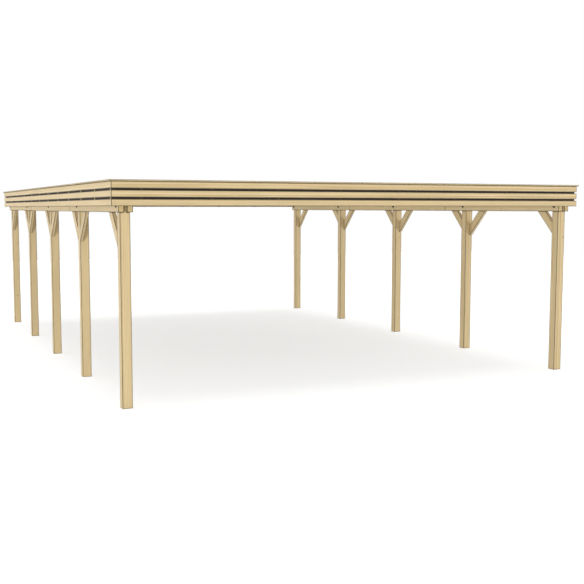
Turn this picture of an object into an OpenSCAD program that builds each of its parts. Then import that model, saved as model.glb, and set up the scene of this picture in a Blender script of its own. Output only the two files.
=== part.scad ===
// Flat-roofed timber carport, open on all sides.
// Two rows of posts carry double purlins, housed into both faces of every post head.
// Knee braces stiffen the rows, rafters cross the purlins and carry profiled sheets,
// and a fascia of three spaced boards with a flat cap hides the edge of the roof.
// Millimetres, +Z up, +X to the right, +Y to the back.
// The origin is on the ground, in the middle of the plan.

/* [Overall] */
// Width over the fascia boards
carport_w = 6600; // [4200:10:8400]
// Length over the fascia boards
carport_l = 9000; // [6000:10:12000]
// Height from the ground to the underside of the purlins
headroom_h = 2250; // [1900:10:3000]

/* [Posts] */
// Side of a square post
post_w = 120; // [90:5:180]
// Posts in each row
posts_per_row = 5; // [4:1:6]
// From the outer face of a row of posts to the outer face of the side fascia
side_overhang = 117; // [95:1:400]
// From the outer face of an end post to the outer face of the front or back fascia
end_overhang = 95; // [60:1:400]

/* [Purlins] */
// Thickness of one purlin
purlin_t = 65; // [45:1:75]
// Height of a purlin
purlin_h = 140; // [100:5:220]
// Depth of the housing in each side of a post head
housing_d = 40; // [15:1:45]
// From the end of a purlin to the inner face of the end fascia
purlin_end_gap = 38; // [5:1:55]
// From the centre of the second post, and of the last but one, to the butt joint
joint_offset = 500; // [200:10:700]

/* [Knee braces] */
// Length of a brace's foot along the post and of its head along the purlin
brace_leg = 400; // [300:5:800]
// Width of a brace across its grain, seen from the side
brace_w = 120; // [80:5:160]
// Thickness of a brace
brace_t = 45; // [30:1:80]

/* [Rafters] */
// Thickness of a rafter
rafter_t = 60; // [40:1:80]
// Height of a rafter
rafter_h = 160; // [100:5:240]
// Widest spacing between rafter centres
rafter_spacing = 800; // [500:10:1000]

/* [Roof sheets] */
// Distance from rib to rib
rib_pitch = 207; // [150:1:300]
// Height of the ribs, with the sheet itself
rib_h = 35; // [18:1:60]
// Width of the flat top of a rib
rib_top_w = 40; // [20:1:70]
// Width of each sloping flank of a rib, seen from above
rib_flank_w = 24; // [8:1:30]
// Thickness of the sheet
sheet_t = 0.75; // [0.5:0.05:1.5]
// From the edge of the sheets to the outer faces of the rafters and to the rafter ends
sheet_setback = 5; // [2:1:20]

/* [Fascia and cap] */
// Boards above each other on each side
board_count = 3; // [2:1:4]
// Height of a fascia board
board_h = 78; // [60:1:95]
// Open gap between two fascia boards
board_gap = 22; // [8:1:30]
// Thickness of a fascia board
board_t = 20; // [15:1:30]
// Thickness of the cap
cap_t = 18; // [10:1:40]
// Width of the cap
cap_w = 140; // [100:5:200]
// How far the cap stands out over the fascia
cap_overhang = 20; // [0:1:40]
// Air between the ribs of the roof sheets and the cap
cap_clearance = 13; // [5:1:40]

/* [Battens] */
// Depth of the battens between the rafter ends and the side fascia
side_batten_d = 47; // [25:1:65]
// Width of a batten behind the side fascia
side_batten_w = 40; // [20:1:60]
// Depth of the battens between an end rafter and the end fascia
end_batten_d = 65; // [58:1:120]
// Width of a batten behind the end fascia
batten_w = 60; // [40:1:80]
// Battens behind each end fascia, between the two rows
end_batten_count = 8; // [4:1:12]
// From an inner purlin to the nearest batten behind the end fascia
end_batten_margin = 60; // [20:5:300]
// From the lower edge of the fascia up to the lower end of a batten
batten_setback = 10; // [0:1:40]

/* [Hidden] */
TIMBER = "#D3BE91";
FASCIA_TIMBER = "#D6C296";
END_BATTEN_TIMBER = "#45382A";
CAP_TIMBER = "#C2B8A2";
SHEET_METAL = "#B9BDBE";
SIDES = ["left", "right"];
ENDS = ["front", "back"];
EDGES = ["front", "right", "back", "left"];
FACES = ["outer", "inner"];
LENGTHS = ["front", "middle", "back"];
QUARTER_TURN = 90;

// Half sizes in plan
fascia_x = carport_w / 2;
fascia_y = carport_l / 2;
fascia_in_x = fascia_x - board_t;
fascia_in_y = fascia_y - board_t;
row_x = fascia_x - side_overhang;
row_y = fascia_y - end_overhang;
rafter_end_x = fascia_in_x - side_batten_d;
end_rafter_y = fascia_in_y - end_batten_d - rafter_t / 2;

// Levels
purlin_top_z = headroom_h + purlin_h;
rafter_top_z = purlin_top_z + rafter_h;
fascia_top_z = rafter_top_z + rib_h + cap_clearance;
fascia_bottom_z = fascia_top_z - board_count * board_h - (board_count - 1) * board_gap;

// Posts, bays and rafters
post_pitch = (2 * row_y - post_w) / (posts_per_row - 1);
bay_count = posts_per_row - 1;
tongue_t = post_w - 2 * housing_d;
rafter_gaps = ceil(2 * end_rafter_y / rafter_spacing);
rafter_pitch = 2 * end_rafter_y / rafter_gaps;

// Purlins: inner face of each, from the middle of the plan, and the ends of the lengths
outer_purlin_x = row_x - housing_d;
inner_purlin_x = row_x - post_w + housing_d - purlin_t;
purlin_end_y = fascia_in_y - purlin_end_gap;
joint_y = row_y - post_w / 2 - post_pitch - joint_offset;

// Roof sheets
sheet_half_w = rafter_end_x - sheet_setback;
sheet_half_l = end_rafter_y + rafter_t / 2 - sheet_setback;
rib_count = floor((2 * sheet_half_w - rib_top_w - 2 * rib_flank_w) / rib_pitch) + 1;

function post_name(side, i) = str(side, "_post_", i);
function purlin_name(side, face, part) = str(side, "_", face, "_purlin_", part);
function braces_name(side, bay) = str(side, "_braces_bay_", bay);
function post_y(i) = -row_y + post_w / 2 + (i - 1) * post_pitch;
function is_end(edge) = edge == "front" || edge == "back";
function edge_turn(edge) = QUARTER_TURN * search([edge], EDGES)[0];

// Everything on the left is mirrored for the right
module on_side(side) {
    mirror([side == "right" ? 1 : 0, 0, 0]) children();
}

// Everything at the front is mirrored for the back
module at_end(end) {
    mirror([0, end == "back" ? 1 : 0, 0]) children();
}

// A box given by its lowest and highest corners
module block(low, high) {
    translate(low) cube(high - low);
}

// Shaft with a tongue at the head, which the two purlins clasp
module post(side, i) {
    y = post_y(i) - post_w / 2;
    color(TIMBER) on_side(side) difference() {
        block([-row_x, y, 0], [-row_x + post_w, y + post_w, purlin_top_z]);
        for (x = [-row_x - post_w + housing_d, -row_x + housing_d + tongue_t])
            translate([x, y - post_w / 2, headroom_h]) cube([post_w, 2 * post_w, 2 * purlin_h]);
    }
}

// One length of the outer or inner purlin of a row
module purlin(side, face, part) {
    x = face == "outer" ? outer_purlin_x : inner_purlin_x;
    span = part == "front" ? [-purlin_end_y, -joint_y]
        : part == "middle" ? [-joint_y, joint_y]
        : [joint_y, purlin_end_y];
    color(TIMBER) on_side(side)
        block([-x - purlin_t, span[0], headroom_h], [-x, span[1], purlin_top_z]);
}

// The two braces of one bay, flush with the outer faces of its posts
module braces(side, bay) {
    color(TIMBER) on_side(side) {
        brace(post_y(bay) + post_w / 2, 1);
        brace(post_y(bay + 1) - post_w / 2, -1);
    }
}

// A brace at 45 degrees with a plumb cut on the post and a level cut under the purlin
module brace(post_face_y, away) {
    cut = brace_w * sqrt(2);
    translate([-row_x, post_face_y, headroom_h]) mirror([0, away < 0 ? 1 : 0, 0])
        rotate([QUARTER_TURN, 0, QUARTER_TURN]) linear_extrude(brace_t)
            polygon([[0, -brace_leg], [brace_leg, 0], [brace_leg - cut, 0], [0, cut - brace_leg]]);
}

module rafter(y) {
    color(TIMBER) block([-rafter_end_x, y - rafter_t / 2, purlin_top_z],
                        [rafter_end_x, y + rafter_t / 2, rafter_top_z]);
}

module end_rafters() {
    for (y = [-end_rafter_y, end_rafter_y]) rafter(y);
}

module inner_rafters() {
    for (i = [1 : rafter_gaps - 1]) rafter(-end_rafter_y + i * rafter_pitch);
}

// Upper line of the profile, from left to right, over the underside of the sheet
function rib_line() = [
    for (i = [0 : rib_count - 1])
        let (x = (i - (rib_count - 1) / 2) * rib_pitch)
            each [
                [x - rib_top_w / 2 - rib_flank_w, sheet_t],
                [x - rib_top_w / 2, rib_h],
                [x + rib_top_w / 2, rib_h],
                [x + rib_top_w / 2 + rib_flank_w, sheet_t]
            ]
];

// Profiled sheets laid on the rafters, ribs from front to back, as one skin
module roof_sheets() {
    upper = concat([[-sheet_half_w, sheet_t]], rib_line(), [[sheet_half_w, sheet_t]]);
    lower = [for (i = [len(upper) - 1 : -1 : 0]) [upper[i][0], upper[i][1] - sheet_t]];
    color(SHEET_METAL) translate([0, sheet_half_l, rafter_top_z])
        rotate([QUARTER_TURN, 0, 0]) linear_extrude(2 * sheet_half_l)
            polygon(concat(upper, lower));
}

// A batten on the end of every rafter, to which the side fascia is fixed
module side_battens(side) {
    color(TIMBER) on_side(side)
        for (i = [0 : rafter_gaps]) {
            y = -end_rafter_y + i * rafter_pitch;
            block([-fascia_in_x, y - side_batten_w / 2, fascia_bottom_z + batten_setback],
                  [-rafter_end_x, y + side_batten_w / 2, fascia_top_z]);
        }
}

// Battens on the face of an end rafter, one of them in each corner
module end_battens(end) {
    first_x = inner_purlin_x - end_batten_margin - batten_w;
    step = (2 * first_x + batten_w) / (end_batten_count - 1);
    color(END_BATTEN_TIMBER) at_end(end) {
        for (i = [0 : end_batten_count - 1]) end_batten(-first_x - batten_w + i * step, batten_w);
        for (x = [-fascia_in_x, rafter_end_x]) end_batten(x, side_batten_d);
    }
}

module end_batten(x, w) {
    block([x, -fascia_in_y, fascia_bottom_z + batten_setback],
          [x + w, -fascia_in_y + end_batten_d, fascia_top_z]);
}

// A flat strip along one edge of the plan, mitred at both corners.
// proud is how far its outer edge stands out over the outer face of the fascia.
module mitred_strip(edge, proud, w, h) {
    half_l = (is_end(edge) ? fascia_x : fascia_y) + proud;
    reach = (is_end(edge) ? fascia_y : fascia_x) + proud;
    rotate([0, 0, edge_turn(edge)]) linear_extrude(h)
        polygon([[-half_l, -reach], [half_l, -reach], [half_l - w, w - reach], [w - half_l, w - reach]]);
}

// The spaced boards of one edge
module fascia(edge) {
    color(FASCIA_TIMBER)
        for (i = [0 : board_count - 1])
            translate([0, 0, fascia_bottom_z + i * (board_h + board_gap)])
                mitred_strip(edge, 0, board_t, board_h);
}

// The flat board that covers the fascia, its battens and the edge of the sheets
module cap(edge) {
    color(CAP_TIMBER) translate([0, 0, fascia_top_z]) mitred_strip(edge, cap_overhang, cap_w, cap_t);
}

for (side = SIDES) {
    for (i = [1 : posts_per_row])
        post(side, i);
    for (face = FACES) for (part = LENGTHS)
        purlin(side, face, part);
    for (bay = [1 : bay_count])
        braces(side, bay);
    side_battens(side);
}
for (end = ENDS)
    end_battens(end);
for (edge = EDGES) {
    fascia(edge);
    cap(edge);
}
end_rafters();
inner_rafters();
roof_sheets();
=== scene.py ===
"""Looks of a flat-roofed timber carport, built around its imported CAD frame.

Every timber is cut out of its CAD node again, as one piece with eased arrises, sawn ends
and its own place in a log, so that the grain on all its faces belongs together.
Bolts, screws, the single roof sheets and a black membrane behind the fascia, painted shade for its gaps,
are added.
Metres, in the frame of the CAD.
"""

import math
import random

import bmesh
import bpy
from mathutils import Euler, Matrix, Vector


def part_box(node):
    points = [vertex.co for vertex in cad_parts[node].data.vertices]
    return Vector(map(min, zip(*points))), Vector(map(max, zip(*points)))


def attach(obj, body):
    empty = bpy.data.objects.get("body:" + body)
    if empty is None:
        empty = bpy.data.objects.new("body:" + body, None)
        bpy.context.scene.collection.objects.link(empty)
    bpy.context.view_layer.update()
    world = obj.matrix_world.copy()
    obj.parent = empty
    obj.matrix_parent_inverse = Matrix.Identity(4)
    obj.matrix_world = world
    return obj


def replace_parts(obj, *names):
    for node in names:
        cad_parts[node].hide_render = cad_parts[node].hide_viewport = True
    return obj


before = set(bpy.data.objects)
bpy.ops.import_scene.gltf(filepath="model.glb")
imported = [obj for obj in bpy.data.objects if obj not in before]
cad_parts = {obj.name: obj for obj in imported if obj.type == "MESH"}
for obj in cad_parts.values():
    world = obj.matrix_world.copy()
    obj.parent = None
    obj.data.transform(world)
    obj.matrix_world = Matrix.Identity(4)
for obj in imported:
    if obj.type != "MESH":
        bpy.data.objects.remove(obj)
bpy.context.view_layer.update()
chance = random.Random(11)

MM = 0.001

# Points of the CAD closer than this are welded, faces that turn less than this are joined to one,
# and heights that differ by less than this are the same
WELD = 0.05 * MM
FLAT_DEGREES = 1
LEVEL = 0.01 * MM

# How far a face or a timber turns to a direction, from 0 to 1, before it counts as facing it
FACING = 0.5

# Timber: its rounded arris, which short edges go without; the band of painted shade beside it, and the
# most that it takes of a face's width; how dark that painted shade is, how much that varies, and the
# power by which it deepens towards the arris
ARRIS = 3 * MM
ARRIS_STEPS = 2
SHORT_EDGE = 4 * ARRIS
EDGE_BAND = 10 * MM
EDGE_BAND_SHARE = 0.3
EDGE_SHADE = 0.82
EDGE_SHADE_PATCHY = 0.1
EDGE_POWER = 1.4

# Log that a timber is sawn from: how far off the timber's middle its pith may lie, and how many
# metres of log the timbers are spread over, so that they differ
PITH_NEAR = 30 * MM
PITH_FAR = 110 * MM
LOG_RUN = 40

# Grain. Spruce has rings about 3 mm apart and fibres far finer than 1 mm: both are drawn coarser,
# so that they show across a yard. A power keeps the dark late wood to the end of each ring. Tone
# drifts over a hand's width across a timber, and the log is divided into cells, with one knot in each
RING_SPACING = 11 * MM
LATE_POWER = 2.6
FIBRE_WIDTH = 3 * MM
TONE_PATCH = 110 * MM
KNOT_CELL = 210 * MM
KNOT_R_MIN = 3 * MM
KNOT_R_MAX = 15 * MM

# A knot fades into the wood between these two shares of its radius. It shifts the rings at its rim
# by SWIRL_RINGS, and less and less from there to the farther share of its radius
KNOT_FADE = (0.75, 1.05)
SWIRL_RINGS = 1.1
SWIRL_FADE = (0.8, 3.5)

# Noise keeps mostly between these two values. Tone goes from the darkest to the lightest factor,
# along a timber as well as from one timber to another
NOISE_LOW, NOISE_HIGH = 0.3, 0.7
DARK_TONE, LIGHT_TONE = 0.94, 1.05

# The log is squeezed along its length, to these shares, so that rings, fibres and tone run long
RING_SQUEEZE = 0.05
FIBRE_SQUEEZE = 0.012
TONE_SQUEEZE = 0.12

# Coated roof sheet: marks left by rain, squeezed so that they run long beside the ribs, and the
# orange peel of the coat, which is under 1 mm across in truth and drawn coarser
RAIN_MARK = 170 * MM
RAIN_SQUEEZE = 0.15
COAT_PEEL = 4 * MM

# Plated steel: the clouds of its passivation, drawn coarser than the real 2 mm
ZINC_CLOUD = 9 * MM

# Membrane cloth: its fleece, drawn coarser than the real 0.2 mm, and its soft creases
FLEECE = 2 * MM
CREASE = 90 * MM

# Bolts through the post heads, hexagons measured across their flats, with the bevels of the rims
BOLT_D = 14 * MM
HEX_WIDTH = 22 * MM
HEAD_H = 9 * MM
NUT_H = 12 * MM
WASHER_D = 46 * MM
WASHER_T = 4 * MM
THREAD_END = 6 * MM
WASHER_BEVEL = 0.8 * MM
HEX_BEVEL = 1.2 * MM
THREAD_BEVEL = 1 * MM

# Countersunk screws: the head, how far it stands proud and reaches into the wood, and its bevel; the
# rim round its drive, and the drive's depth; and how far from a board's edges it sits
SCREW_D = 9 * MM
SCREW_PROUD = 0.4 * MM
SCREW_SUNK = 0.5 * MM
SCREW_BEVEL = 0.2 * MM
DRIVE_RIM = 2.34 * MM
DRIVE_DEPTH = 0.8 * MM
SCREW_INSET = 19 * MM

# The same screws in a brace: from the ends of its underside, and from the middle of its width
BRACE_SCREW_INSET = 49.4 * MM
BRACE_SCREW_ASIDE = 11.4 * MM

# Sealed screws of the roof sheets
ROOF_SCREW_HEX = 8 * MM
ROOF_SCREW_H = 5 * MM
ROOF_WASHER_D = 16 * MM
ROOF_WASHER_T = 2.5 * MM
ROOF_SCREW_BEVEL = 0.6 * MM

# Sides of the round and six-sided pieces
WASHER_STEPS = 40
THREAD_STEPS = 20
SCREW_STEPS = 16
HEX_SIDES = 6

# Roof sheets: ribs that one sheet covers, and how far its last rib rides up on the next sheet
RIBS_PER_SHEET = 5
LAP_LIFT = 1 * MM

# Black membrane between the battens, painted shade for the gaps: how far behind the boards it hangs,
# how deep its edges turn back along the battens, its air beside them, and how far it stops from their
# lower and upper ends
MEMBRANE_T = 0.6 * MM
MEMBRANE_IN = 3 * MM
MEMBRANE_TURN = 25 * MM
MEMBRANE_AIR = 0.3 * MM
MEMBRANE_FOOT = 20 * MM
MEMBRANE_HEAD = 2 * MM

# Studio floor: its half width, its grey, and the brightness that the camera alone sees in it
FLOOR_HALF = 26
FLOOR_GREY = (0.85, 0.85, 0.85, 1)
FLOOR_GLOW = 0.62

# Low soft panels: how far off they stand, their size, the height of their middle, and their tilt,
# where 90 is level and more looks upwards
PANEL_AWAY = 58
PANEL_WIDE = 24
PANEL_HIGH = 1.3
PANEL_MIDDLE = 0.75
PANEL_TILT = 90.7

# Camera: place, turn to the right of straight back, tilt, sideways shift, and in millimetres its
# lens and the width of its sensor; and how far it sees
CAMERA_PLACE = (-5.706, -14.486, 2.302)
CAMERA_YAW = 24.04
CAMERA_TILT = -5.31
CAMERA_SHIFT = 0.0205
CAMERA_LENS = 55.94
CAMERA_SENSOR = 36
CAMERA_SIGHT = 500


def srgb(hex_colour):
    """Turns an sRGB hex colour into linear red, green, blue and alpha."""
    parts = [int(hex_colour[i:i + 2], 16) / 255 for i in (1, 3, 5)]
    return [c / 12.92 if c <= 0.04045 else ((c + 0.055) / 1.055) ** 2.4 for c in parts] + [1]


def add(tree, kind, wires=None, **settings):
    """Adds a node with its settings; wires gives each input a value or the socket that feeds it."""
    node = tree.nodes.new(kind)
    for name, value in settings.items():
        setattr(node, name, value)
    for socket, value in (wires or {}).items():
        if isinstance(value, bpy.types.NodeSocket):
            tree.links.new(value, node.inputs[socket])
        else:
            node.inputs[socket].default_value = value
    return node


def new_material(name):
    """An empty node material and its tree."""
    material = bpy.data.materials.new(name)
    material.use_nodes = True
    material.node_tree.nodes.clear()
    return material, material.node_tree


def finish_material(tree, colour, roughness, height, bump_mm, **sockets):
    """A Principled surface; colour, roughness and height come from the tree, the rest by name."""
    bump = add(tree, "ShaderNodeBump", {"Height": height, "Distance": bump_mm * MM, "Strength": 1.0})
    wires = {"Base Color": colour, "Roughness": roughness, "Normal": bump.outputs[0]}
    wires.update({name.replace("_", " "): value for name, value in sockets.items()})
    surface = add(tree, "ShaderNodeBsdfPrincipled", wires)
    add(tree, "ShaderNodeOutputMaterial", {"Surface": surface.outputs[0]})


def timber_grain(tree):
    """Rings, fibres, broad tone and knots of a timber, read from its place in the log."""
    log = add(tree, "ShaderNodeAttribute", attribute_name="grain").outputs["Vector"]
    rings_at, fibres_at, broad_at = [
        add(tree, "ShaderNodeMapping", {"Vector": log, "Scale": (squeeze, 1, 1)}).outputs[0]
        for squeeze in (RING_SQUEEZE, FIBRE_SQUEEZE, TONE_SQUEEZE)]

    # Knots are balls in the log, so they show where a face cuts through one
    cells = add(tree, "ShaderNodeTexVoronoi", {"Vector": log, "Scale": 1 / KNOT_CELL})
    knot_size = add(tree, "ShaderNodeSeparateColor", {"Color": cells.outputs["Color"]}).outputs[0]
    knot_r = add(tree, "ShaderNodeMapRange", {"Value": knot_size, "To Min": KNOT_R_MIN / KNOT_CELL,
                                              "To Max": KNOT_R_MAX / KNOT_CELL}).outputs[0]
    knot_far = add(tree, "ShaderNodeMath", {0: cells.outputs["Distance"], 1: knot_r},
                   operation="DIVIDE").outputs[0]
    knot = add(tree, "ShaderNodeMapRange", {"Value": knot_far, "From Min": KNOT_FADE[0],
                                            "From Max": KNOT_FADE[1],
                                            "To Min": 1, "To Max": 0}).outputs[0]
    swirl = add(tree, "ShaderNodeMapRange", {"Value": knot_far, "From Min": SWIRL_FADE[0],
                                             "From Max": SWIRL_FADE[1], "To Min": 1, "To Max": 0},
                interpolation_type="SMOOTHSTEP").outputs[0]

    # Growth rings round the pith, where a wave of scale 1 has rings pi / 10 apart; the swirl bends
    # them about a knot
    bend = add(tree, "ShaderNodeMath", {0: swirl, 1: SWIRL_RINGS * 2 * math.pi},
               operation="MULTIPLY").outputs[0]
    rings = add(tree, "ShaderNodeTexWave",
                {"Vector": rings_at, "Scale": math.pi / (10 * RING_SPACING), "Distortion": 3.0,
                 "Detail": 2.0, "Detail Scale": 0.35, "Phase Offset": bend},
                wave_type="RINGS", rings_direction="X", wave_profile="SAW").outputs["Fac"]
    late = add(tree, "ShaderNodeMath", {0: rings, 1: LATE_POWER}, operation="POWER").outputs[0]
    fibres = add(tree, "ShaderNodeTexNoise", {"Vector": fibres_at, "Scale": 1 / FIBRE_WIDTH,
                                              "Detail": 3.0, "Roughness": 0.6}).outputs["Fac"]
    broad = add(tree, "ShaderNodeTexNoise", {"Vector": broad_at, "Scale": 1 / TONE_PATCH,
                                             "Detail": 2.0}).outputs["Fac"]
    return {"late": late, "fibres": fibres, "broad": broad, "knot": knot, "far": knot_far}


def painted_edge_shade(tree, patches):
    """Painted shade in a band beside an edge: a factor that falls towards the arris."""
    edge = add(tree, "ShaderNodeAttribute", attribute_name="edge").outputs["Fac"]
    depth = add(tree, "ShaderNodeMath", {0: edge, 1: EDGE_POWER}, operation="POWER").outputs[0]
    patchy = add(tree, "ShaderNodeMapRange", {"Value": patches,
                                              "From Min": NOISE_LOW, "From Max": NOISE_HIGH,
                                              "To Min": EDGE_SHADE - EDGE_SHADE_PATCHY,
                                              "To Max": EDGE_SHADE + EDGE_SHADE_PATCHY}).outputs[0]
    share = add(tree, "ShaderNodeMath", {0: depth, 1: patchy}, operation="MULTIPLY").outputs[0]
    return add(tree, "ShaderNodeMapRange", {"Value": share, "To Min": 1.0, "To Max": 0.0}).outputs[0]


def spruce(name, early, late, knot, ring_share, rough, fibre_share=0.12, bump_mm=0.5):
    """Spruce sawn from a log: pale early wood, darker late wood, a few small sound knots."""
    material, tree = new_material(name)
    grain = timber_grain(tree)
    tone = add(tree, "ShaderNodeAttribute", attribute_name="tone").outputs["Fac"]

    share = add(tree, "ShaderNodeMath", {0: grain["late"], 1: ring_share}, operation="MULTIPLY")
    wood = add(tree, "ShaderNodeMix", {0: share.outputs[0], 6: srgb(early), 7: srgb(late)},
               data_type="RGBA").outputs[2]
    # Streaks of the fibres, broad changes along a timber, one timber against another, and painted shade
    # beside the edges
    light = add(tree, "ShaderNodeMapRange", {"Value": grain["fibres"],
                                             "From Min": NOISE_LOW, "From Max": NOISE_HIGH,
                                             "To Min": 1 - fibre_share / 2,
                                             "To Max": 1 + fibre_share / 2}).outputs[0]
    broad = add(tree, "ShaderNodeMapRange", {"Value": grain["broad"],
                                             "From Min": NOISE_LOW, "From Max": NOISE_HIGH,
                                             "To Min": DARK_TONE, "To Max": LIGHT_TONE}).outputs[0]
    each = add(tree, "ShaderNodeMapRange", {"Value": tone, "To Min": DARK_TONE,
                                            "To Max": LIGHT_TONE}).outputs[0]
    for factor in (broad, each, painted_edge_shade(tree, grain["broad"])):
        light = add(tree, "ShaderNodeMath", {0: light, 1: factor}, operation="MULTIPLY").outputs[0]
    wood = add(tree, "ShaderNodeVectorMath", {0: wood, "Scale": light}, operation="SCALE").outputs[0]
    # A knot is paler at its core and darkest in its rim
    core = add(tree, "ShaderNodeMapRange", {"Value": grain["far"], "From Min": 0.1, "From Max": 0.95,
                                            "To Min": 0.45, "To Max": 0.85}).outputs[0]
    knot_share = add(tree, "ShaderNodeMath", {0: grain["knot"], 1: core}, operation="MULTIPLY")
    wood = add(tree, "ShaderNodeMix", {0: knot_share.outputs[0], 6: wood, 7: srgb(knot)},
               data_type="RGBA").outputs[2]

    roughness = add(tree, "ShaderNodeMapRange", {"Value": grain["fibres"], "To Min": rough - 0.06,
                                                 "To Max": rough + 0.08}).outputs[0]
    relief = add(tree, "ShaderNodeMath", {0: grain["late"], 1: grain["fibres"]}, operation="ADD")
    # Open pores break up the gloss, so it is weaker than on a closed varnish
    finish_material(tree, wood, roughness, relief.outputs[0], bump_mm, Specular_IOR_Level=0.3)
    return material


def end_grain(name, early, late):
    """Cross-cut spruce: the rings show as arcs, and the open pores take more stain and dirt; painted
    shade darkens the wood beside its edges.
    """
    material, tree = new_material(name)
    grain = timber_grain(tree)
    wood = add(tree, "ShaderNodeMix", {0: grain["late"], 6: srgb(early), 7: srgb(late)},
               data_type="RGBA").outputs[2]
    # Painted shade beside the edges, as on the long faces
    wood = add(tree, "ShaderNodeVectorMath", {0: wood, "Scale": painted_edge_shade(tree, grain["broad"])},
               operation="SCALE").outputs[0]
    roughness = add(tree, "ShaderNodeMapRange", {"Value": grain["broad"], "To Min": 0.75,
                                                 "To Max": 0.9}).outputs[0]
    finish_material(tree, wood, roughness, grain["late"], bump_mm=0.8)
    return material


def coated_steel(name, colour, shade):
    """Zinc-coated sheet with a baked polyester coat: an even satin with faint dust and rain marks."""
    material, tree = new_material(name)
    place = add(tree, "ShaderNodeNewGeometry").outputs["Position"]
    along = add(tree, "ShaderNodeMapping", {"Vector": place, "Scale": (1, RAIN_SQUEEZE, 1)}).outputs[0]
    marks = add(tree, "ShaderNodeTexNoise", {"Vector": along, "Scale": 1 / RAIN_MARK,
                                             "Detail": 5.0}).outputs["Fac"]
    peel = add(tree, "ShaderNodeTexNoise", {"Vector": place, "Scale": 1 / COAT_PEEL}).outputs["Fac"]
    share = add(tree, "ShaderNodeMapRange", {"Value": marks, "From Min": 0.35, "From Max": 0.75})
    coat = add(tree, "ShaderNodeMix", {0: share.outputs[0], 6: srgb(colour), 7: srgb(shade)},
               data_type="RGBA").outputs[2]
    roughness = add(tree, "ShaderNodeMapRange", {"Value": marks, "To Min": 0.32,
                                                 "To Max": 0.6}).outputs[0]
    finish_material(tree, coat, roughness, peel, bump_mm=0.08)
    return material


def zinc(name, colour, shade, rough):
    """Zinc-plated steel, tumbled and passivated: small clouded patches over a dull metal."""
    material, tree = new_material(name)
    place = add(tree, "ShaderNodeNewGeometry").outputs["Position"]
    clouds = add(tree, "ShaderNodeTexNoise", {"Vector": place, "Scale": 1 / ZINC_CLOUD, "Detail": 3.0})
    share = add(tree, "ShaderNodeMapRange", {"Value": clouds.outputs["Fac"], "From Min": 0.35,
                                             "From Max": 0.65}).outputs[0]
    metal = add(tree, "ShaderNodeMix", {0: share, 6: srgb(colour), 7: srgb(shade)},
                data_type="RGBA").outputs[2]
    roughness = add(tree, "ShaderNodeMapRange", {"Value": share, "To Min": rough - 0.08,
                                                 "To Max": rough + 0.1}).outputs[0]
    finish_material(tree, metal, roughness, clouds.outputs["Fac"], bump_mm=0.1, Metallic=1.0)
    return material


def membrane(name, colour, shade):
    """Spun-bonded cloth, near black as painted shade for the fascia gaps: dull, with a faint fleece and
    soft creases.
    """
    material, tree = new_material(name)
    place = add(tree, "ShaderNodeNewGeometry").outputs["Position"]
    fleece = add(tree, "ShaderNodeTexNoise", {"Vector": place, "Scale": 1 / FLEECE}).outputs["Fac"]
    creases = add(tree, "ShaderNodeTexNoise", {"Vector": place, "Scale": 1 / CREASE,
                                               "Detail": 3.0}).outputs["Fac"]
    cloth = add(tree, "ShaderNodeMix", {0: fleece, 6: srgb(colour), 7: srgb(shade)},
                data_type="RGBA").outputs[2]
    roughness = add(tree, "ShaderNodeMapRange", {"Value": fleece, "To Min": 0.85,
                                                 "To Max": 0.97}).outputs[0]
    relief = add(tree, "ShaderNodeMath", {0: creases, 1: fleece}, operation="ADD").outputs[0]
    finish_material(tree, cloth, roughness, relief, bump_mm=2.0)
    return material


# Planed and oil-stained: smooth, dull, warm straw with fine darker lines along the timber
PLANED = spruce("planed_stained_spruce", early="#D9C498", late="#B69662", knot="#8A6238",
                ring_share=0.75, rough=0.62)
# The same stain on thin boards of younger wood: a shade paler
BOARD = spruce("planed_stained_spruce_board", early="#DAC599", late="#B89864", knot="#8A6238",
               ring_share=0.75, rough=0.62)
# Planed and stained, but lying flat in the weather: greyer and duller, knots and all
CAP = spruce("weathered_spruce_cap", early="#D7C59B", late="#B59D6E", knot="#80664A",
             ring_share=0.75, rough=0.7)
# Planed and left bare under the roof: the palest of the timbers, with clear rings
RAFTER = spruce("planed_bare_spruce", early="#DFCDA6", late="#BFA375", knot="#8F6A40",
                ring_share=0.8, rough=0.68)
# Left rough from the saw: fully dull, with torn fibres that catch the light
SAWN = spruce("rough_sawn_spruce", early="#D8C49B", late="#B4966A", knot="#80592F",
              ring_share=0.8, rough=0.85, fibre_share=0.2, bump_mm=1.2)
# Rough-sawn at the two ends, where the battens face the gaps; their dark colour is painted shade, so
# that they sink into it
SAWN_PAINTED_SHADE = spruce("rough_sawn_spruce_painted_shade", early="#45382A", late="#33281D", knot="#2A2018",
                   ring_share=0.8, rough=0.85, fibre_share=0.25, bump_mm=1.2)
# Cut across the log: matt arcs of rings, a little darker than the faces beside them
END = end_grain("cross_cut_spruce", early="#D3BE8C", late="#AF925E")
# Rolled from zinc-coated coil with a baked polyester coat: light grey and satin, streaked by rain
SHEET = coated_steel("coated_steel_sheet", colour="#BDC1C1", shade="#A9ADAC")
# Forged bolts, zinc-plated and passivated black: soot-dark metal with a low sheen
DARK_ZINC = zinc("black_passivated_zinc", colour="#3A3835", shade="#25231F", rough=0.45)
# Cold-headed screws, zinc-plated and passivated clear: pale metal with a warm tinge
BRIGHT_ZINC = zinc("bright_zinc_screw", colour="#B5B0A0", shade="#96907F", rough=0.4)
# Spun-bonded and near black, painted shade for the fascia gaps: a soft cloth that throws almost no light
# back
SHADE_SHEET = membrane("black_painted_shade_sheet", colour="#2A2219", shade="#1C1610")


def islands(whole):
    """The separate closed solids of a bmesh, as lists of faces."""
    found = []
    seen = set()
    for first in whole.faces:
        if first in seen:
            continue
        seen.add(first)
        solid = [first]
        for face in solid:
            for edge in face.edges:
                for other in edge.link_faces:
                    if other not in seen:
                        seen.add(other)
                        solid.append(other)
        found.append(solid)
    return found


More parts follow.
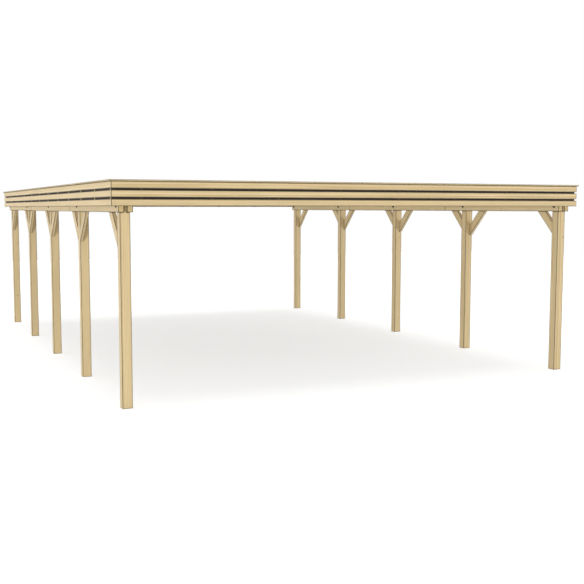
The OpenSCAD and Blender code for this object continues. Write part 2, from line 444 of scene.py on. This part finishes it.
def copy_solid(solid):
    """A new bmesh that holds only these faces."""
    alone = bmesh.new()
    twin = {v: alone.verts.new(v.co) for v in dict.fromkeys(v for f in solid for v in f.verts)}
    for face in solid:
        alone.faces.new([twin[v] for v in face.verts])
    alone.normal_update()
    alone.edges.ensure_lookup_table()
    return alone


def timbers(node):
    """The timbers of a CAD node, each a bmesh with whole flat faces, in order of place."""
    whole = bmesh.new()
    whole.from_mesh(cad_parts[node].data)
    bmesh.ops.remove_doubles(whole, verts=whole.verts, dist=WELD)
    bmesh.ops.dissolve_limit(whole, angle_limit=math.radians(FLAT_DEGREES),
                             verts=whole.verts, edges=whole.edges)
    found = [copy_solid(solid) for solid in islands(whole)]
    whole.free()
    return sorted(found, key=lambda t: tuple(round(min(v.co[i] for v in t.verts), 3) for i in (1, 0, 2)))


def grain_frame(timber):
    """Axes of a timber, which are its longest edge and two square to it, and its middle."""
    longest = max(timber.edges, key=lambda e: e.calc_length())
    along = (longest.verts[1].co - longest.verts[0].co).normalized()
    aim = Vector((0, 0, 1)) if abs(along.z) < FACING else Vector((0, 1, 0))
    across = along.cross(aim).normalized()
    middle = sum((v.co for v in timber.verts), Vector()) / len(timber.verts)
    return along, across, along.cross(across), middle


def ease_arrises(timber):
    """Rounds the outer edges, and leaves a band beside them for painted shade; returns the faces inside
    the bands.
    """
    outer = [e for e in timber.edges if e.is_convex and e.calc_length() > SHORT_EDGE]
    rounded = set(bmesh.ops.bevel(timber, geom=outer, offset=ARRIS, offset_type="OFFSET",
                                  segments=ARRIS_STEPS, profile=0.5, affect="EDGES")["faces"])
    flat = [f for f in timber.faces if f not in rounded]
    for face in flat:
        # Twice the area over the outline is about the width of a long face
        width = 2 * face.calc_area() / sum(e.calc_length() for e in face.edges)
        band = min(EDGE_BAND, EDGE_BAND_SHARE * width)
        bmesh.ops.inset_individual(timber, faces=[face], thickness=band, use_even_offset=True)
    return flat


def order_faces(shape):
    """Puts the faces in order of place, because rounding an edge leaves them in a chance order."""
    for number, face in enumerate(sorted(shape.faces, key=lambda f: tuple(f.calc_center_median()))):
        face.index = number
    shape.faces.sort()


def finish_timber(name, timber, material):
    """Makes the object of one timber, with its grain, tone and edges written on its points."""
    along, across, deep, middle = grain_frame(timber)
    inner = {v for face in ease_arrises(timber) for v in face.verts}
    order_faces(timber)
    for face in timber.faces:
        face.material_index = 1 if abs(face.normal.dot(along)) > FACING else 0
    edges = [0.0 if v in inner else 1.0 for v in timber.verts]
    mesh = bpy.data.meshes.new(name)
    timber.to_mesh(mesh)
    timber.free()
    mesh.materials.append(material)
    mesh.materials.append(END)

    # The pith runs beside the timber, so that its faces show flat and upright rings
    turn = chance.uniform(0, 2 * math.pi)
    reach = chance.uniform(PITH_NEAR, PITH_FAR)
    start = chance.uniform(0, LOG_RUN)
    pith = Vector((start, reach * math.cos(turn), reach * math.sin(turn)))
    grain = mesh.attributes.new("grain", "FLOAT_VECTOR", "POINT")
    for vertex, value in zip(mesh.vertices, grain.data):
        off = vertex.co - middle
        value.vector = Vector((off.dot(along), off.dot(across), off.dot(deep))) + pith
    tone = chance.random()
    for value in mesh.attributes.new("tone", "FLOAT", "POINT").data:
        value.value = tone
    for share, value in zip(edges, mesh.attributes.new("edge", "FLOAT", "POINT").data):
        value.value = share
    return place_piece(name, mesh)


def place_piece(name, mesh, material=None):
    """Links a piece into the scene, riding on the one body."""
    if material:
        mesh.materials.append(material)
    piece = bpy.data.objects.new(name, mesh)
    bpy.context.scene.collection.objects.link(piece)
    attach(piece, "root")
    return piece


def timber_pieces(node, material):
    """Replaces a CAD node by its timbers."""
    parts = timbers(node)
    for number, timber in enumerate(parts, 1):
        name = f"{node}_timber" if len(parts) == 1 else f"{node}_timber_{number}"
        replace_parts(finish_timber(name, timber, material), node)


def nodes_with(*words):
    """Names of the CAD nodes that hold all these words."""
    return sorted(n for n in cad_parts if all(w in n for w in words))


# The finish and the slot of each kind of timber, which a word in its node's name tells
FINISHES = [("_post_", PLANED, "post_timber"), ("_purlin_", PLANED, "purlin_timber"),
            ("_braces_", PLANED, "brace_timber"), ("_rafters", RAFTER, "rafter_timber"),
            ("left_battens", SAWN, "side_batten_timber"), ("right_battens", SAWN, "side_batten_timber"),
            # The battens at the two ends carry the painted shade
            ("front_battens", SAWN_PAINTED_SHADE, "end_batten_timber"),
            ("back_battens", SAWN_PAINTED_SHADE, "end_batten_timber"),
            ("_fascia", BOARD, "fascia_board"), ("_cap", CAP, "cap_board")]
for word, material, slot in FINISHES:
    for node in nodes_with(word):
        timber_pieces(node, material)


def roof_profile():
    """Points of the upper side of the profiled sheet, from left to right, and its thickness."""
    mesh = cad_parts["roof_sheets"].data
    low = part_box("roof_sheets")[0]
    points = sorted({(round(v.co.x, 5), round(v.co.z, 5)) for v in mesh.vertices
                     if v.co.y < low.y + MM})
    upper = {}
    for x, z in points:
        upper[x] = max(z, upper.get(x, z))
    thickness = min(z for x, z in points if z > low.z + LEVEL) - low.z
    return sorted(upper.items()), thickness


def roof_sheet(name, line, thickness, y_low, y_high):
    """One profiled sheet: a folded strip with its true thickness."""
    sheet = bmesh.new()
    rows = []
    for y in (y_low, y_high):
        rows.append([sheet.verts.new((x, y, z)) for x, z in line])
        rows.append([sheet.verts.new((x, y, z - thickness)) for x, z in line])
    front_top, front_under, back_top, back_under = rows
    for i in range(len(line) - 1):
        sheet.faces.new((front_top[i], front_top[i + 1], back_top[i + 1], back_top[i]))
        sheet.faces.new((back_under[i], back_under[i + 1], front_under[i + 1], front_under[i]))
        sheet.faces.new((front_under[i], front_under[i + 1], front_top[i + 1], front_top[i]))
        sheet.faces.new((back_top[i], back_top[i + 1], back_under[i + 1], back_under[i]))
    for i in (0, len(line) - 1):
        sheet.faces.new((front_top[i], back_top[i], back_under[i], front_under[i]))
    bmesh.ops.recalc_face_normals(sheet, faces=sheet.faces)
    mesh = bpy.data.meshes.new(name)
    sheet.to_mesh(mesh)
    sheet.free()
    return place_piece(name, mesh, SHEET)


def roof_sheets():
    """The sheets side by side, each lapping over the next by a rib; returns their profile."""
    low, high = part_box("roof_sheets")
    line, thickness = roof_profile()
    points_per_rib = 4
    ribs = (len(line) - 2) // points_per_rib
    first = 0
    number = 1
    while first < ribs - 1:
        last = min(first + RIBS_PER_SHEET, ribs - 1)
        begin = 0 if first == 0 else 1 + first * points_per_rib
        end = len(line) if last == ribs - 1 else 1 + (last + 1) * points_per_rib
        lapped = 1 + last * points_per_rib
        part = [(x, z + (LAP_LIFT if begin + i >= lapped and last < ribs - 1 else 0))
                for i, (x, z) in enumerate(line[begin:end])]
        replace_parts(roof_sheet(f"roof_sheet_{number}", part, thickness, low.y, high.y), "roof_sheets")
        first = last
        number += 1
    return line


ROOF_LINE = roof_sheets()


def timber_boxes(node):
    """Lowest and highest corners of every timber of a CAD node."""
    boxes = []
    for timber in timbers(node):
        spans = list(zip(*(v.co for v in timber.verts)))
        boxes.append((Vector([min(span) for span in spans]), Vector([max(span) for span in spans])))
        timber.free()
    return boxes


# The four edges of the roof, each with its outward direction, and all the battens behind them
EDGES = {"front": (0, -1, 0), "right": (1, 0, 0), "back": (0, 1, 0), "left": (-1, 0, 0)}
BATTENS = [box for edge in EDGES for box in timber_boxes(f"{edge}_battens")]


def gap_shade_sheet(edge, outward):
    """Membrane stapled between the battens of one edge, near black as painted shade, so that its gaps
    look into shade.
    """
    across = 0 if outward[0] else 1
    board_low, board_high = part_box(f"{edge}_fascia")
    behind = board_low[across] if outward[across] > 0 else board_high[across]
    battens = sorted((b for b in BATTENS if min(abs(c[across] - behind) for c in b) < MM),
                     key=lambda b: b[0][1 - across])
    z_low = battens[0][0].z + MEMBRANE_FOOT
    z_high = battens[0][1].z - MEMBRANE_HEAD
    cloth = bmesh.new()
    for batten, following in zip(battens, battens[1:]):
        rows = []
        for z, inside in ((z_low, 0), (z_high, 0), (z_high, MEMBRANE_T), (z_low, MEMBRANE_T)):
            begin = batten[1][1 - across] + MEMBRANE_AIR + inside
            end = following[0][1 - across] - MEMBRANE_AIR - inside
            row = []
            for along, depth in ((begin, MEMBRANE_TURN), (begin, MEMBRANE_IN + inside),
                                 (end, MEMBRANE_IN + inside), (end, MEMBRANE_TURN)):
                spot = [along, along, z]
                spot[across] = behind - outward[across] * depth
                row.append(cloth.verts.new(spot))
            rows.append(row)
        for row, after in zip(rows, rows[1:] + rows[:1]):
            for i in range(3):
                cloth.faces.new((row[i], row[i + 1], after[i + 1], after[i]))
        for i in (0, 3):
            cloth.faces.new([row[i] for row in rows])
    bmesh.ops.recalc_face_normals(cloth, faces=cloth.faces)
    mesh = bpy.data.meshes.new(f"{edge}_gap_shade_sheet")
    cloth.to_mesh(mesh)
    cloth.free()
    place_piece(f"{edge}_gap_shade_sheet", mesh, SHADE_SHEET)


def disc(shape, radius, low, high, steps, bevel):
    """Adds an upright round or six-sided block about the Z axis; bevel eases its upper edge."""
    bmesh.ops.create_cone(shape, cap_ends=True, segments=steps, radius1=radius, radius2=radius,
                          depth=high - low, matrix=Matrix.Translation((0, 0, (low + high) / 2)))
    rim = [e for e in shape.edges if all(abs(v.co.z - high) < LEVEL for v in e.verts)]
    bmesh.ops.bevel(shape, geom=rim, offset=bevel, segments=1, affect="EDGES")


def bolt_head():
    """Washer and hexagon head."""
    shape = bmesh.new()
    disc(shape, WASHER_D / 2, 0, WASHER_T, WASHER_STEPS, WASHER_BEVEL)
    disc(shape, HEX_WIDTH / math.sqrt(3), WASHER_T, WASHER_T + HEAD_H, HEX_SIDES, HEX_BEVEL)
    return shape


def bolt_nut():
    """Washer, hexagon nut and the end of the thread."""
    shape = bmesh.new()
    disc(shape, WASHER_D / 2, 0, WASHER_T, WASHER_STEPS, WASHER_BEVEL)
    nut_top = WASHER_T + NUT_H
    disc(shape, HEX_WIDTH / math.sqrt(3), WASHER_T, nut_top, HEX_SIDES, HEX_BEVEL)
    disc(shape, BOLT_D / 2, nut_top, nut_top + THREAD_END, THREAD_STEPS, THREAD_BEVEL)
    return shape


def screw_head():
    """A countersunk head, just proud of the wood, with a round drive."""
    shape = bmesh.new()
    disc(shape, SCREW_D / 2, -SCREW_SUNK, SCREW_PROUD, SCREW_STEPS, SCREW_BEVEL)
    top = max(shape.faces, key=lambda f: f.calc_center_median().z)
    bmesh.ops.inset_individual(shape, faces=[top], thickness=DRIVE_RIM)
    bmesh.ops.translate(shape, verts=top.verts, vec=(0, 0, -DRIVE_DEPTH))
    return shape


def roof_screw():
    """A sealing washer and a small hexagon head."""
    shape = bmesh.new()
    disc(shape, ROOF_WASHER_D / 2, 0, ROOF_WASHER_T, SCREW_STEPS, ROOF_SCREW_BEVEL)
    disc(shape, ROOF_SCREW_HEX / math.sqrt(3), ROOF_WASHER_T, ROOF_WASHER_T + ROOF_SCREW_H,
         HEX_SIDES, ROOF_SCREW_BEVEL)
    return shape


def scatter(name, shape, places, material):
    """Joins a copy of a small shape at every (point, outward direction) into one piece."""
    order_faces(shape)
    joined = bmesh.new()
    source = bpy.data.meshes.new(name + "_source")
    shape.to_mesh(source)
    shape.free()
    for point, outward in places:
        spin = Matrix.Rotation(chance.uniform(0, 2 * math.pi), 4, "Z")
        turn = Vector((0, 0, 1)).rotation_difference(Vector(outward)).to_matrix().to_4x4()
        before = len(joined.verts)
        joined.from_mesh(source)
        joined.verts.ensure_lookup_table()
        bmesh.ops.transform(joined, matrix=Matrix.Translation(point) @ turn @ spin,
                            verts=joined.verts[before:])
    bpy.data.meshes.remove(source)
    mesh = bpy.data.meshes.new(name)
    joined.to_mesh(mesh)
    joined.free()
    place_piece(name, mesh, material)


def bolts():
    """One bolt through both purlins and the tongue of every post."""
    for side, outward in (("left", -1), ("right", 1)):
        heads, nuts = [], []
        outer_low, outer_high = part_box(f"{side}_outer_purlin_middle")
        inner_low, inner_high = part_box(f"{side}_inner_purlin_middle")
        z = (outer_low.z + outer_high.z) / 2
        outer_x = outer_low.x if outward < 0 else outer_high.x
        inner_x = inner_high.x if outward < 0 else inner_low.x
        for post in nodes_with(side + "_post_"):
            low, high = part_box(post)
            y = (low.y + high.y) / 2
            heads.append(((outer_x, y, z), (outward, 0, 0)))
            nuts.append(((inner_x, y, z), (-outward, 0, 0)))
        scatter(f"{side}_bolt_heads", bolt_head(), heads, DARK_ZINC)
        scatter(f"{side}_bolt_nuts", bolt_nut(), nuts, DARK_ZINC)


def fascia_screws():
    """Two screws through every board into every batten, and one row through the cap."""
    for edge, outward in EDGES.items():
        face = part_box(f"{edge}_fascia")
        boards = timber_boxes(f"{edge}_fascia")
        cap_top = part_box(f"{edge}_cap")[1].z
        board_places, cap_places = [], []
        for batten_low, batten_high in timber_boxes(f"{edge}_battens"):
            middle = (batten_low + batten_high) / 2
            spot = [middle.x, middle.y]
            axis = 0 if outward[0] else 1
            spot[axis] = face[0][axis] if outward[axis] < 0 else face[1][axis]
            for low, high in boards:
                for z in (low.z + SCREW_INSET, high.z - SCREW_INSET):
                    board_places.append(((spot[0], spot[1], z), outward))
            cap_places.append(((middle.x, middle.y, cap_top), (0, 0, 1)))
        scatter(f"{edge}_fascia_screws", screw_head(), board_places, BRIGHT_ZINC)
        scatter(f"{edge}_cap_screws", screw_head(), cap_places, BRIGHT_ZINC)


def brace_screws():
    """Two screws near each end of a brace, driven from its underside into post and purlin."""
    for side in ("left", "right"):
        places = []
        for node in nodes_with(side + "_braces_"):
            for timber in timbers(node):
                under = max((f for f in timber.faces if f.normal.z < -FACING),
                            key=lambda f: f.calc_area())
                length = max(under.edges, key=lambda e: e.calc_length())
                run = (length.verts[1].co - length.verts[0].co).normalized()
                width = run.cross(under.normal).normalized()
                reach = length.calc_length() / 2 - BRACE_SCREW_INSET
                for along in (-reach, reach):
                    for aside in (-BRACE_SCREW_ASIDE, BRACE_SCREW_ASIDE):
                        point = under.calc_center_median() + run * along + width * aside
                        places.append((point, under.normal.copy()))
                timber.free()
        scatter(f"{side}_brace_screws", screw_head(), places, BRIGHT_ZINC)


def roof_screws():
    """A sealed screw in every second trough of the sheets, over every rafter."""
    low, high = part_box("roof_sheets")
    troughs = [((a[0] + b[0]) / 2, a[1]) for a, b in zip(ROOF_LINE, ROOF_LINE[1:])
               if a[1] == b[1] and a[1] < (low.z + high.z) / 2][1:-1:2]
    rafters = [box for node in nodes_with("_rafters") for box in timber_boxes(node)]
    places = [((x, (r[0].y + r[1].y) / 2, z), (0, 0, 1)) for r in rafters for x, z in troughs]
    scatter("roof_sheet_screws", roof_screw(), places, BRIGHT_ZINC)


for edge, outward in EDGES.items():
    gap_shade_sheet(edge, outward)
bolts()
fascia_screws()
brace_screws()
roof_screws()


def seen_directly(tree):
    """1 where the camera sees a surface, itself or in a gloss or through glass; else 0."""
    rays = add(tree, "ShaderNodeLightPath").outputs
    seen = add(tree, "ShaderNodeMath", {0: rays["Is Camera Ray"], 1: rays["Is Glossy Ray"]},
               operation="MAXIMUM").outputs[0]
    return add(tree, "ShaderNodeMath", {0: seen, 1: rays["Is Transmission Ray"]},
               operation="MAXIMUM").outputs[0]


def stage():
    """A wide pale floor; the camera sees it as nearly white, with a soft share of the shadow."""
    half = FLOOR_HALF
    mesh = bpy.data.meshes.new("floor")
    mesh.from_pydata([(-half, -half, 0), (half, -half, 0), (half, half, 0), (-half, half, 0)],
                     [], [(0, 1, 2, 3)])
    floor = bpy.data.objects.new("floor", mesh)
    bpy.context.scene.collection.objects.link(floor)
    material, tree = new_material("studio_floor")
    plain = add(tree, "ShaderNodeBsdfDiffuse", {"Color": FLOOR_GREY}).outputs[0]
    seen = add(tree, "ShaderNodeMath", {0: seen_directly(tree), 1: FLOOR_GLOW},
               operation="MULTIPLY").outputs[0]
    glow = add(tree, "ShaderNodeEmission", {"Color": (1, 1, 1, 1), "Strength": seen}).outputs[0]
    both = add(tree, "ShaderNodeAddShader", {0: plain, 1: glow}).outputs[0]
    add(tree, "ShaderNodeOutputMaterial", {"Surface": both})
    mesh.materials.append(material)


def sky(level):
    """An even white studio sky: full white to the camera, softer as a light."""
    world = bpy.data.worlds.new("studio_sky")
    bpy.context.scene.world = world
    world.use_nodes = True
    tree = world.node_tree
    tree.nodes.clear()
    strength = add(tree, "ShaderNodeMapRange", {"Value": seen_directly(tree), "To Min": level,
                                                "To Max": 1.0})
    light = add(tree, "ShaderNodeBackground", {"Color": (1, 1, 1, 1), "Strength": strength.outputs[0]})
    add(tree, "ShaderNodeOutputWorld", {"Surface": light.outputs[0]})


def sun(name, heading, height, strength, width):
    """A soft sun, in degrees: heading from the front towards the left, height, width of its disc."""
    lamp = bpy.data.lights.new(name, "SUN")
    lamp.energy = strength
    lamp.angle = math.radians(width)
    holder = bpy.data.objects.new(name, lamp)
    holder.rotation_euler = Euler((math.radians(90 - height), 0, math.radians(-heading)))
    bpy.context.scene.collection.objects.link(holder)


def low_softbox(name, heading, power):
    """A wide soft panel, heading from the front towards the left, low enough to shine under the roof."""
    lamp = bpy.data.lights.new(name, "AREA")
    lamp.shape = "RECTANGLE"
    lamp.size = PANEL_WIDE
    lamp.size_y = PANEL_HIGH
    lamp.energy = power
    holder = bpy.data.objects.new(name, lamp)
    turn = math.radians(heading)
    holder.location = (-PANEL_AWAY * math.sin(turn), -PANEL_AWAY * math.cos(turn), PANEL_MIDDLE)
    holder.rotation_euler = Euler((math.radians(PANEL_TILT), 0, -turn))
    holder.visible_camera = False
    bpy.context.scene.collection.objects.link(holder)


def camera():
    """The camera, just above head height, before the left corner of the front."""
    lens = bpy.data.cameras.new("camera")
    lens.lens = CAMERA_LENS
    lens.sensor_width = CAMERA_SENSOR
    lens.shift_x = CAMERA_SHIFT
    lens.clip_end = CAMERA_SIGHT
    holder = bpy.data.objects.new("camera", lens)
    holder.location = CAMERA_PLACE
    holder.rotation_euler = Euler((math.radians(90 + CAMERA_TILT), 0, math.radians(-CAMERA_YAW)))
    bpy.context.scene.collection.objects.link(holder)
    bpy.context.scene.camera = holder


stage()
sky(level=0.4)
sun("key", heading=18, height=38, strength=0.1, width=30)
sun("top_light", heading=0, height=90, strength=0.7, width=40)
low_softbox("front_left_softbox", heading=41, power=15000)
low_softbox("front_right_softbox", heading=-48, power=11800)
low_softbox("back_left_softbox", heading=132, power=10000)
low_softbox("back_right_softbox", heading=-138, power=9000)
camera()
bpy.context.scene.view_settings.view_transform = "Standard"
